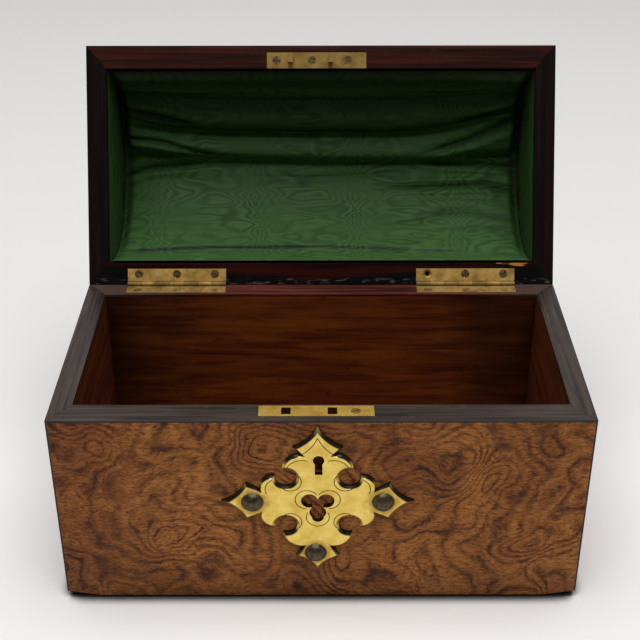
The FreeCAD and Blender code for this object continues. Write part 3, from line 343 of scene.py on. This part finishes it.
def oiledBrass(name, bright, dull):
    mat, tree, shader, spotted, mm = brass(name, bright, dull, 0.64, 0.85)
    low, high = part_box("hinge_left_pin")
    axis = (low + high) * 500
    section = addNode(tree, "VectorMath", {0: mm, 1: (0, 1, 1)}, operation="MULTIPLY")
    gap = addNode(tree, "VectorMath", {0: section.outputs[0], 1: (0, axis.y, axis.z)}, operation="DISTANCE")
    oil = addNode(tree, "MapRange", {"Value": gap.outputs["Value"], "From Min": hingeOil["full"],
                                     "From Max": hingeOil["none"], "To Min": hingeOil["strength"], "To Max": 0.0})
    oiled = addNode(tree, "Mix", {"Factor": oil.outputs[0], 6: spotted.outputs[2], 7: hexColour("6a542c")},
                    data_type="RGBA")
    tree.links.new(oiled.outputs[2], shader.inputs["Base Color"])
    return mat


# Dark metal: browned iron screws and stained studs, smooth with a soft spotty sheen.
stainSize = 1.6  # mm


def darkMetal(name, dark, pale, roughness):
    mat, tree, shader = newMaterial(name)
    cloud = addNode(tree, "TexNoise", {"Vector": millimetres(tree), "Scale": 1 / stainSize, "Detail": 4.0})
    tone = addNode(tree, "ValToRGB", {"Fac": cloud.outputs["Fac"]}, [(0.35, dark), (0.7, pale)])
    rough = addNode(tree, "MapRange", {"Value": cloud.outputs["Fac"], "To Min": roughness, "To Max": roughness + 0.2})
    shader.inputs["Metallic"].default_value = 0.7
    tree.links.new(tone.outputs[0], shader.inputs["Base Color"])
    tree.links.new(rough.outputs[0], shader.inputs["Roughness"])
    return mat


# Watered silk: ribbed taffeta pressed double, so mirrored wave lines cross it between the press folds.
moire = dict(flatX=217.6, flatY=161.4, driftSize=40, driftReach=14.0, pressFold=27.0, waveX=13.0, waveY=5.0,
             strayX=34, strayY=12, lines=5.5, columnPull=0.5, patchSize=30, ribPitch=0.9)
wavePeriod = 0.314  # the rib pattern repeats once in this length at a scale of 1


def wateredSilk(name, flatX, flatY):
    mat, tree, shader = newMaterial(name)
    uv = addNode(tree, "UVMap", uv_map="cloth")
    flat = addNode(tree, "Mapping", {"Vector": uv.outputs[0], "Scale": (flatX, flatY, 1)})
    axes = addNode(tree, "SeparateXYZ", {0: flat.outputs[0]})
    drift = addNode(tree, "TexNoise", {"Vector": flat.outputs[0], "Scale": 1 / moire["driftSize"], "Detail": 1.0})
    driftMm = addNode(tree, "Math", {0: drift.outputs["Fac"], 1: moire["driftReach"], 2: axes.outputs["X"]},
                      operation="MULTIPLY_ADD")
    folded = addNode(tree, "Math", {0: driftMm.outputs[0], 1: moire["pressFold"]}, operation="PINGPONG")
    acrossWave = addNode(tree, "Math", {0: folded.outputs[0], 1: moire["waveX"]}, operation="DIVIDE")
    upWave = addNode(tree, "Math", {0: axes.outputs["Y"], 1: moire["waveY"]}, operation="DIVIDE")
    wavePlace = addNode(tree, "CombineXYZ", {0: acrossWave.outputs[0], 1: upWave.outputs[0]})
    wave = addNode(tree, "TexNoise", {"Vector": wavePlace.outputs[0], "Scale": 0.45, "Detail": 1.5, "Roughness": 0.4})
    stray = addNode(tree, "Mapping", {"Vector": flat.outputs[0],
                                      "Scale": (1 / moire["strayX"], 1 / moire["strayY"], 1)})
    strayWave = addNode(tree, "TexNoise", {"Vector": stray.outputs[0], "Scale": 1.0, "Detail": 1.0})
    both = addNode(tree, "Math", {0: wave.outputs["Fac"], 1: strayWave.outputs["Fac"]}, operation="ADD")
    column = addNode(tree, "Math", {0: folded.outputs[0], 1: moire["pressFold"]}, operation="DIVIDE")
    steep = addNode(tree, "Math", {0: column.outputs[0], 1: 4.0}, operation="POWER")
    drawn = addNode(tree, "Math", {0: steep.outputs[0], 1: moire["columnPull"], 2: both.outputs[0]},
                    operation="MULTIPLY_ADD")  # the lines turn upright beside each press fold
    phase = addNode(tree, "Math", {0: drawn.outputs[0], 1: math.tau * moire["lines"]}, operation="MULTIPLY")
    line = addNode(tree, "Math", {0: phase.outputs[0]}, operation="SINE")
    patch = addNode(tree, "TexNoise", {"Vector": flat.outputs[0], "Scale": 1 / moire["patchSize"], "Detail": 2.0})
    strength = addNode(tree, "MapRange", {"Value": patch.outputs["Fac"], "From Min": 0.35, "From Max": 0.65,
                                          "To Min": 0.04, "To Max": 0.3})
    lit = addNode(tree, "Math", {0: line.outputs[0], 1: strength.outputs[0], 2: 0.5}, operation="MULTIPLY_ADD")
    tone = addNode(tree, "ValToRGB", {"Fac": lit.outputs[0]}, [(0.0, "243c1e"), (1.0, "4a6e3b")])
    foldShade = addNode(tree, "Attribute", attribute_name="fold")
    shadedInFolds = addNode(tree, "Mix", {"Factor": foldShade.outputs["Fac"], 6: tone.outputs[0], 7: hexColour("0a1408")},
                     data_type="RGBA")  # painted shade in the folds and under the rolls
    rough = addNode(tree, "MapRange", {"Value": lit.outputs[0], "To Min": 0.58, "To Max": 0.4})
    rib = addNode(tree, "TexWave", {"Vector": flat.outputs[0], "Scale": wavePeriod / moire["ribPitch"]},
                  bands_direction="Y")  # ribs drawn coarser than the real 0.4 mm so that they show
    bump = addNode(tree, "Bump", {"Height": rib.outputs["Fac"], "Strength": 0.08, "Distance": 0.0002})
    shader.inputs["Specular IOR Level"].default_value = 0.1
    tree.links.new(shadedInFolds.outputs[2], shader.inputs["Base Color"])
    tree.links.new(rough.outputs[0], shader.inputs["Roughness"])
    tree.links.new(bump.outputs[0], shader.inputs["Normal"])
    return mat


# Wool baize: matt felted nap in a deep green.
napSize = 0.9  # mm, coarser than real felt so that it shows


def woolBaize():
    mat, tree, shader = newMaterial("woolBaize")
    nap = addNode(tree, "TexNoise", {"Vector": millimetres(tree), "Scale": 1 / napSize, "Detail": 4.0})
    tone = addNode(tree, "ValToRGB", {"Fac": nap.outputs["Fac"]}, [(0.3, "16261a"), (0.7, "2a4330")])
    bump = addNode(tree, "Bump", {"Height": nap.outputs["Fac"], "Strength": 0.5, "Distance": 0.0004})
    shader.inputs["Roughness"].default_value = 0.95
    shader.inputs["Sheen Weight"].default_value = 0.4
    tree.links.new(tone.outputs[0], shader.inputs["Base Color"])
    tree.links.new(bump.outputs[0], shader.inputs["Normal"])
    return mat


polished = ("100a08", "473831", "5b5049", 1.7, 0.3, 0.28)
finishes = [
    (burrWalnut(), ["base_front_veneer", "base_back_veneer", "base_left_veneer", "base_right_veneer",
                    "lid_dome_veneer", "lid_left_veneer", "lid_right_veneer"]),
    (streakedWood("polishedRosewood", *polished, acrossGrain)[0], ["base_rim_front"]),
    (reddenedRosewood(), ["base_rim_back"]),
    (streakedWood("polishedRosewoodEnds", *polished, upGrain)[0], ["base_rim_left", "base_rim_right"]),
    (streakedWood("dulledRosewood", "0c0403", "43190e", "4a352d", 2.6, 0.6, 0.1, acrossGrain)[0], ["lid_rim_front"]),
    (scuffedRosewood(), ["lid_rim_back"]),
    (streakedWood("dulledRosewoodEnds", "060303", "1a0c0a", "2a211e", 2.6, 0.6, 0.08, upGrain, lidTurn)[0],
     ["lid_rim_left", "lid_rim_right"]),
    (streakedWood("stainedCedar", "55210a", "713411", "8f5022", 3.6, 0.5, 0.2, cedarGrain)[0],
     ["base_front_board", "base_bottom_board", "lid_front_rail", "lid_back_rail"]
     + [f"lid_stave_{k}" for k in range(1, 7)]),
    (cedarShadedToCorners(), ["base_back_board"]),
    (streakedWood("stainedCedarEnds", "421808", "713614", "6f4322", 3.0, 0.5, 0.22, cedarEndGrain)[0],
     ["base_left_board", "base_right_board", "lid_left_end", "lid_right_end"]),
    (streakedWood("ebonyStringing", "0b0908", "221b18", "2d2724", 1.5, 0.4, 0.4, standingGrain)[0],
     ["base_corner_strings", "lid_edge_strings"]),
    (escutcheonBrass(), ["escutcheon_plate"]),
    (brass("rubbedBrass", "e6bf5e", "bd9340", 0.3, 0.8)[0], ["lock_body", "lock_cap"]),
    (brass("wornScrewBrass", "a5834f", "654a2a", 0.4, 0.85)[0], ["lock_plate_screw"]),
    (brass("agedBrass", "a98c4f", "836735", 0.45, 0.85)[0], ["lock_hook_plate"]),
    (oiledBrass("hingeBrass", "d4b068", "a38345"), ["hinge_left_lid_leaf", "hinge_right_lid_leaf"]),
    (oiledBrass("grimyBrass", "ab9058", "7f693c"), ["hinge_left_base_leaf", "hinge_right_base_leaf"]),
    (brass("filedScrewBrass", "94804c", "63502c", 0.6, 0.9)[0], ["base_hinge_screws"]),
    (darkMetal("brownedSteel", "2c2520", "5a4b38", 0.42),
     ["hinge_left_pin", "hinge_right_pin", "lock_cap_screws", "lock_key_pin", "lock_spring", "lock_bolt"]),
    (darkMetal("wornScrewHeads", "44382a", "8d7749", 0.4), ["lid_hinge_screws", "hook_plate_screws"]),
    (darkMetal("stainedStud", "393023", "63573f", 0.24), ["escutcheon_studs"]),
]
for mat, names in finishes:
    for name in names:
        nodes[name].data.materials.clear()
        nodes[name].data.materials.append(mat)
easing = dict(width=0.0002, segments=2, angle=50, weld=0.00001)
for name in [n for n in nodes if "_rim_" in n]:  # the strips' arrises are eased
    weld = nodes[name].modifiers.new("joined", "WELD")
    weld.merge_threshold = easing["weld"]
    arris = nodes[name].modifiers.new("arris", "BEVEL")
    arris.width = easing["width"]
    arris.segments = easing["segments"]
    arris.angle_limit = math.radians(easing["angle"])
print("finishes set:", sum(len(names) for mat, names in finishes))


def finishPiece(name, mesh, mat, body, slotName, *replaced):
    built = bpy.data.meshes.new(name)
    mesh.to_mesh(built)
    mesh.free()
    for poly in built.polygons:
        poly.use_smooth = True
    piece = bpy.data.objects.new(name, built)
    scene.collection.objects.link(piece)
    built.materials.append(mat)
    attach(piece, body)
    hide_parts(*replaced)
    return piece


def lidPoint(x, y, z):  # a point of the shut lid, in mm about the hinge line, brought to the open lid in metres
    c, s = math.cos(-lidTurn), math.sin(-lidTurn)
    return Vector((x, lid["hingeY"] + y * c - z * s, lid["hingeZ"] + y * s + z * c)) / 1000


def smoothStep(low, high, value):
    t = min(1.0, max(0.0, (value - low) / (high - low)))
    return t * t * (3 - 2 * t)


def layCloth(columns, rows):  # a flat grid from -1 to 1 that keeps its place on the cloth
    mesh = bmesh.new()
    bmesh.ops.create_grid(mesh, x_segments=columns, y_segments=rows, size=1.0)
    cloth = mesh.loops.layers.uv.new("cloth")
    for face in mesh.faces:
        for loop in face.loops:
            loop[cloth].uv = (loop.vert.co.x / 2 + 0.5, loop.vert.co.y / 2 + 0.5)
    return mesh


# Silk barrel of the lid: padding swells between lengthwise creases that gather at both ends.
lid = dict(hingeY=60.617, hingeZ=102.4, midY=-60.617, rimZ=1.6, springZ=7.4, archRadius=49.5)
silk = dict(half=108.8, reachY=48.5, reachZ=54.1, columns=240, rows=240, perDegree=0.897, hem=6.0, endHem=6,
            wrinkle=0.45, wrinkleSize=(46, 5.5), fineWrinkleSize=(30, 2.6), firstPadding=0.7, padding=1.9)
# the hem fold: rise and fade shape the padding; place, width, depth and unevenness set a painted shade line along the
# crease
hemFold = dict(rightFade=(60, 80), leftFade=(95, 105), rise=(0.4, 1.1), fadedRise=6, place=0.3, width=0.55, depth=0.95,
               unevenness=0.6, unevenSize=40)
bank = dict(height=0.45, away=2.4, width=1.3, fullFrom=95)  # cloth beside a short fold, in shares of depth and width
# painted shade by the front hem: its darkness, the lift along each ridge, and the turn over which it sets in
rollShadeLevels = dict(strength=0.75, ridge=0.4, turn=1.5)
valleys = [  # main creases over the crown, as (x in mm, turn in degrees from the hinge side)
    [(-109, 21), (-81, 23), (-64, 26), (-32, 26), (-4, 27), (12, 26), (33, 24), (52, 21), (75, 19), (109, 18)],
    [(-109, 108), (-97, 104), (-69, 101), (-42, 99), (2, 97), (56, 97), (83, 101), (109, 102)],
    [(-109, 137), (-90, 125), (-59, 119), (2, 118), (47, 118), (73, 125), (109, 140)],
    [(-109, 153), (-65, 146), (2, 145), (54, 146), (109, 155)],
]
rolls = [(0.5, 0.5), (3.8, 0.52), (8.6, 0.34), (7.4, 0.34), (3.4, 0.4)]  # height in mm and place of each roll's crest
pulls = [  # shorter folds: points as (x, turn), depth and width in mm
    ([(-108, 118), (-86, 113), (-71, 106), (-50, 101)], 2.6, 1.8),
    ([(56, 104), (78, 113), (108, 132)], 3.0, 2.4),
    ([(30, 78), (61, 78), (88, 79.5), (108, 73)], 2.2, 1.7),
    ([(-108, 87), (-94, 92.5), (-51, 97)], 3.0, 1.8),
    ([(56, 97), (74, 95), (108, 93)], 2.6, 1.6),
    ([(-43, 86), (2, 86), (56, 89)], 1.0, 2.0),
    ([(-50, 80), (-10, 82), (20, 84)], 0.7, 2.0),
    ([(56, 57), (82, 58), (109, 49)], 1.3, 2.2),
    ([(60, 42), (90, 45), (109, 38)], 0.8, 2.0),
    ([(-108, 144), (-89, 136), (-67, 128)], 2.4, 2.4),
    ([(-108, 160), (-70, 155), (-20, 156)], 1.6, 2.4),
    ([(77, 131), (108, 146)], 2.4, 2.4),
    ([(30, 158), (70, 157), (108, 165)], 1.6, 2.4),
    ([(33, 46), (52, 52), (75, 60)], 1.2, 3.0),
]
foldTurns = {}


def turnAt(points, x):
    if x <= points[0][0]:
        return points[0][1]
    for (x0, t0), (x1, t1) in zip(points, points[1:]):
        if x <= x1:
            return t0 + (t1 - t0) * (x - x0) / (x1 - x0)
    return points[-1][1]


def creaseTurns(x):  # the main creases at one place along the lid, rounded where their runs meet
    if x not in foldTurns:
        steps = (-10, -5, 0, 5, 10)
        foldTurns[x] = [0.0] + [sum(turnAt(line, x + d) for d in steps) / len(steps) for line in valleys] + [180.0]
    return foldTurns[x]


def pullDepth(x, turn):  # depth below the plain swell, with cloth banked up beside each fold
    total = 0.0
    here = Vector((x, turn * silk["perDegree"]))
    for points, depth, width in pulls:
        best, taper = math.inf, 1.0
        for k, ((x0, t0), (x1, t1)) in enumerate(zip(points, points[1:])):
            start, end = Vector((x0, t0 * silk["perDegree"])), Vector((x1, t1 * silk["perDegree"]))
            run = end - start
            t = min(1.0, max(0.0, (here - start).dot(run) / run.length_squared))
            gap = (here - start - run * t).length
            if gap < best:
                best = gap
                ends = (k + t) / (len(points) - 1)
                taper = min(1.0, 0.15 + 3 * min(ends, 1 - ends)) if abs(x) < bank["fullFrom"] else 1.0
        brow = bank["height"] * math.exp(-((best - bank["away"] * width) / (bank["width"] * width)) ** 2)
        total += depth * taper * (math.exp(-best / width) - brow)
    return total


def silkSwell(x, turn):
    swell = 0.0
    turns = creaseTurns(round(x, 3))
    for low, high, (height, crest) in zip(turns, turns[1:], rolls):
        if low <= turn <= high:
            t = ((turn - low) / (high - low)) ** (math.log(0.5) / math.log(crest))
            swell = height * math.sin(math.pi * min(1.0, t)) ** 0.8
    run = turn * silk["perDegree"]
    ends = abs(x) / silk["half"]
    (long, short), (fineLong, fineShort) = silk["wrinkleSize"], silk["fineWrinkleSize"]
    fine = noise.noise(Vector((x / long, run / short, 3.1)))
    fine += 0.6 * noise.noise(Vector((x / fineLong, run / fineShort, 7.7)))
    swell += silk["wrinkle"] * (0.4 + 1.2 * ends ** 2) * fine
    deep = pullDepth(x, turn)
    swell -= deep
    fade = smoothStep(*hemFold["rightFade"], x) + smoothStep(*hemFold["leftFade"], -x)  # the hem fold runs out
    before, after = (step + hemFold["fadedRise"] * fade for step in hemFold["rise"])
    padding = silk["firstPadding"] + silk["padding"] * smoothStep(turns[1] - before, turns[1] + after, turn)
    # painted shade: a dark line along the hem crease, uneven along its length and fading out with the fold
    aside = (turn - turns[1] - hemFold["place"]) * silk["perDegree"]
    hemCreaseShade = math.exp(-(aside / hemFold["width"]) ** 2) * (1 - fade)
    hemCreaseShade *= hemFold["depth"] + hemFold["unevenness"] * noise.noise(Vector((x / hemFold["unevenSize"], 0.3, 5.5)))
    rollShade = 0.0  # painted shade in the two hollows by the front hem, lighter along each roll's ridge
    for low, high, crest, breadth in ((turns[3], turns[4], 0.6, 0.24), (turns[4], turns[5], 0.38, 0.2)):
        if low < turn <= high:
            ridge = math.exp(-(((turn - low) / (high - low) - crest) / breadth) ** 2)
            rollShade = rollShadeLevels["strength"] - rollShadeLevels["ridge"] * ridge
            rollShade *= smoothStep(turns[3], turns[3] + rollShadeLevels["turn"], turn)
    endEdge = smoothStep(0, silk["endHem"], silk["half"] - abs(x))
    edge = min(endEdge, smoothStep(0, silk["hem"], min(turn, 180 - turn)))
    # the second value is painted shade: darker in the pulled folds, along the hem crease and in the hollows by the
    # front hem
    return max(0.1, padding + swell) * edge + 0.05, min(0.92, max(0.0, deep / 4) + max(0.0, hemCreaseShade) + rollShade)


def buildSilkBarrel():
    mesh = layCloth(silk["columns"], silk["rows"])
    foldShade = mesh.verts.layers.float.new("fold")
    for vert in mesh.verts:
        x, turn = vert.co.x * silk["half"], (vert.co.y + 1) * 90
        swell, vert[foldShade] = silkSwell(x, turn)
        y = lid["midY"] + (silk["reachY"] - swell) * math.cos(math.radians(turn))
        z = lid["rimZ"] + (silk["reachZ"] - swell) * math.sin(math.radians(turn))
        vert.co = lidPoint(x, y, z)
    return mesh


silkMat = wateredSilk("wateredGreenSilk", moire["flatX"], moire["flatY"])
barrel = finishPiece("liningBarrel", buildSilkBarrel(), silkMat, "lid", "moire_silk", "lid_lining_dome")


# End panels: plain silk over card, cut to the arch.
endPanel = dict(face=109.1, lift=0.3, inset=0.998, pucker=0.25, puckerSize=(7, 20), flatX=99.0, flatY=55.0, columns=48,
                rows=40)


def buildEndPanel(side):
    mesh = layCloth(endPanel["columns"], endPanel["rows"])
    for vert in mesh.verts:
        across, rise = math.sin(vert.co.x * math.pi / 2), (vert.co.y + 1) / 2
        y = across * lid["archRadius"] * endPanel["inset"]
        top = lid["springZ"] + math.sqrt(lid["archRadius"] ** 2 - y ** 2)
        z = lid["rimZ"] + (top - lid["rimZ"]) * rise
        rim = min(rise, 1 - rise, 1 - abs(across))
        wide, tall = endPanel["puckerSize"]
        pucker = endPanel["pucker"] * noise.noise(Vector((y / wide, z / tall, side))) * smoothStep(0, 0.15, rim)
        vert.co = lidPoint(side * (endPanel["face"] + endPanel["lift"] + pucker), lid["midY"] + y, z)
    bmesh.ops.recalc_face_normals(mesh, faces=mesh.faces)
    if (mesh.faces[0].normal.x > 0) == (side > 0):
        bmesh.ops.reverse_faces(mesh, faces=mesh.faces)
    return mesh


panelMat = wateredSilk("wateredGreenSilkEnds", endPanel["flatX"], endPanel["flatY"])
for side, name in ((-1, "left"), (1, "right")):
    mesh = buildEndPanel(side)
    panel = finishPiece(f"liningEnd_{name}", mesh, panelMat, "lid", "moire_silk", f"lid_lining_{name}")
print("end panels done")


# Baize under the bottom board.
baize = dict(width=208.0, depth=118.6, thickness=1.5, columns=40, rows=24)


def buildBaize():
    mesh = bmesh.new()
    bmesh.ops.create_grid(mesh, x_segments=baize["columns"], y_segments=baize["rows"], size=0.5)
    bmesh.ops.scale(mesh, vec=(baize["width"] / 1000, baize["depth"] / 1000, 1), verts=mesh.verts)
    bmesh.ops.translate(mesh, vec=(0, 0, baize["thickness"] / 1000), verts=mesh.verts)
    return mesh


felt = finishPiece("baizeFoot", buildBaize(), woolBaize(), "base", "baize", "base_baize")
wall = felt.modifiers.new("thickness", "SOLIDIFY")
wall.thickness = baize["thickness"] / 1000
wall.offset = -1
print("baize done")


# Pale paper sweep, painted lighter at the front and with a painted contact shadow; soft overhead key and an even
# surround.
studio = dict(floorSize=14.0, litNearPaper="fffefd", paper="e6e5e3", shadedPaper="b4b3b1", nearY=-0.1, farY=0.9,
              contact=0.012, touching=0.54, clear=0.76, contactShadowTone=0.06, keyHeight=82, keyReach=4.0, keySize=4.2,
              keyPower=188.0, aimHeight=0.1, fill=0.08, backdrop=0.78, room=0.1, roomY=-0.5, backdropY=0.4)


def directRays(tree):  # the kinds of ray, and 1 for what is seen straight, mirrored or through something clear
    rays = addNode(tree, "LightPath")
    seen = addNode(tree, "Math", {0: rays.outputs["Is Camera Ray"], 1: rays.outputs["Is Glossy Ray"]},
                   operation="MAXIMUM")
    seenThrough = addNode(tree, "Math", {0: seen.outputs[0], 1: rays.outputs["Is Transmission Ray"]},
                          operation="MAXIMUM")
    return rays, seenThrough.outputs[0]


def buildStudio():
    mesh = bmesh.new()
    bmesh.ops.create_grid(mesh, x_segments=2, y_segments=2, size=studio["floorSize"] / 2)
    built = bpy.data.meshes.new("floor")
    mesh.to_mesh(built)
    mesh.free()
    floor = bpy.data.objects.new("floor", built)
    scene.collection.objects.link(floor)
    mat, tree, shader = newMaterial("palePaper")
    direct = directRays(tree)[1]
    away = addNode(tree, "SeparateXYZ", {0: addNode(tree, "TexCoord").outputs["Object"]})
    # painted light: the paper is lighter at the front and darker far back, standing in for the key's falloff
    paintedFalloff = addNode(tree, "MapRange", {"Value": away.outputs["Y"], "From Min": studio["nearY"],
                                      "From Max": studio["farY"]})
    paperWithPaintedFalloff = addNode(tree, "ValToRGB", {"Fac": paintedFalloff.outputs[0]}, [(0.0, studio["litNearPaper"]), (1.0, studio["paper"])])
    tone = addNode(tree, "Mix", {"Factor": direct, 6: hexColour(studio["shadedPaper"]), 7: paperWithPaintedFalloff.outputs[0]},
                   data_type="RGBA")
    shade = addNode(tree, "AmbientOcclusion", {"Color": tone.outputs[2], "Distance": studio["contact"]}, samples=16)
    dark = addNode(tree, "MapRange", {"Value": shade.outputs["AO"], "From Min": studio["touching"],
                                      "From Max": studio["clear"], "To Min": studio["contactShadowTone"]})
    contactShadowed = addNode(tree, "VectorMath", {0: tone.outputs[2], "Scale": dark.outputs[0]}, operation="SCALE")
    tree.links.new(contactShadowed.outputs[0], shader.inputs["Base Color"])  # painted contact shadow: ambient occlusion darkens the paper where the box touches it
    shader.inputs["Roughness"].default_value = 0.9
    shader.inputs["Specular IOR Level"].default_value = 0.1
    built.materials.append(mat)
    lamp = bpy.data.lights.new("key", "AREA")
    lamp.shape = "SQUARE"
    lamp.size = studio["keySize"]
    lamp.energy = studio["keyPower"]
    key = bpy.data.objects.new("key", lamp)
    turn = math.radians(studio["keyHeight"])
    key.location = (0, -studio["keyReach"] * math.cos(turn), studio["aimHeight"] + studio["keyReach"] * math.sin(turn))
    key.rotation_euler = (math.radians(90) - turn, 0, 0)
    scene.collection.objects.link(key)
    world = bpy.data.worlds.new("surround")
    scene.world = world
    world.use_nodes = True
    tree = world.node_tree
    rays, direct = directRays(tree)
    way = addNode(tree, "TexCoord")
    axes = addNode(tree, "SeparateXYZ", {0: way.outputs["Generated"]})
    sweep = addNode(tree, "MapRange", {"Value": axes.outputs["Y"], "From Min": studio["roomY"],
                                       "From Max": studio["backdropY"], "To Min": studio["room"],
                                       "To Max": studio["backdrop"]})
    mirrored = addNode(tree, "Mix", {"Factor": rays.outputs["Is Glossy Ray"], 2: studio["backdrop"],
                                     3: sweep.outputs[0]})  # polish mirrors the dim room in front of the box
    level = addNode(tree, "Mix", {"Factor": direct, 2: studio["fill"], 3: mirrored.outputs[0]})
    background = tree.nodes["Background"]
    tree.links.new(level.outputs[0], background.inputs["Strength"])
    background.inputs["Color"].default_value = hexColour("ffffff")


buildStudio()

# Camera of the photograph: the focal length is in pixels of its square frame, the sensor in mm.
view = dict(focal=1238.7, frame=640, sensor=36, place=(-0.0001, -0.5014, 0.4116), pitch=30.48, yaw=0.05, roll=-0.09,
            nearest=0.01)
lens = bpy.data.cameras.new("view")
lens.sensor_width = view["sensor"]
lens.lens = view["focal"] / view["frame"] * view["sensor"]
lens.clip_start = view["nearest"]
camera = bpy.data.objects.new("view", lens)
camera.matrix_world = (Matrix.Translation(view["place"]) @ Matrix.Rotation(math.radians(view["yaw"]), 4, "Z")
                       @ Matrix.Rotation(math.radians(90 - view["pitch"]), 4, "X")
                       @ Matrix.Rotation(math.radians(view["roll"]), 4, "Z"))
scene.collection.objects.link(camera)
scene.camera = camera
print("camera and light set")
